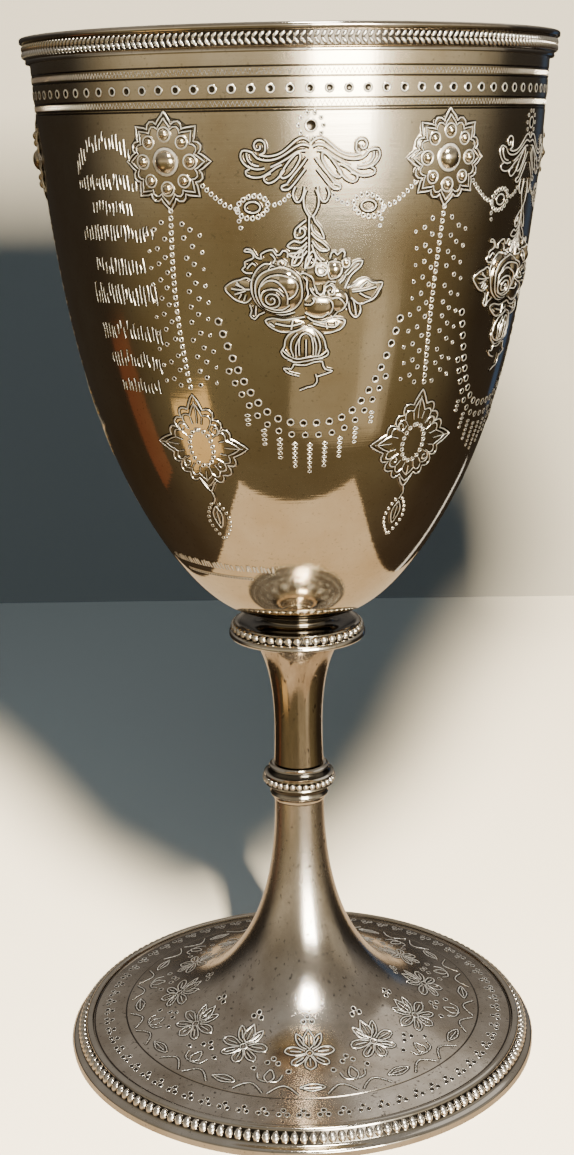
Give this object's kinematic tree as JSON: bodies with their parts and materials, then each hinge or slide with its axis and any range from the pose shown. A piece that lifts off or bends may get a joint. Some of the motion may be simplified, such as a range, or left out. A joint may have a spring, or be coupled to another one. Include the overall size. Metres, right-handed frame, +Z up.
{
  "type": "trophy cup",
  "caption": "Silver-plated presentation goblet: hollow bowl with raised flower ornament, beaded collar and stem ring, and a spreading trumpet foot that it stands on",
  "frame": {"origin": "middle of the underside of the foot, on the surface that the cup stands on", "axes": "+Z up along the cup's axis, -Y towards the side that the picture shows, +X to that side's right"},
  "size_m": [0.1168, 0.1168, 0.24],
  "materials": {
    "bowl_silver": "tarnished silver plate over nickel silver, polished, warm brown tone, fine scratches",
    "stem_silver": "tarnished silver plate over nickel silver, polished, small dark pits",
    "foot_silver": "tarnished silver plate over nickel silver, grey, fine scratches and engraved ornament",
    "mount_silver": "silver plate with dark tarnish between the beads"
  },
  "bodies": {
    "root": {"bowl": "bowl_silver", "rim_band": "mount_silver", "beaded_collar": "mount_silver", "upper_stem": "stem_silver", "stem_ring": "mount_silver", "trumpet_foot": "foot_silver", "foot_border": "mount_silver"}
  },
  "joints": []
}
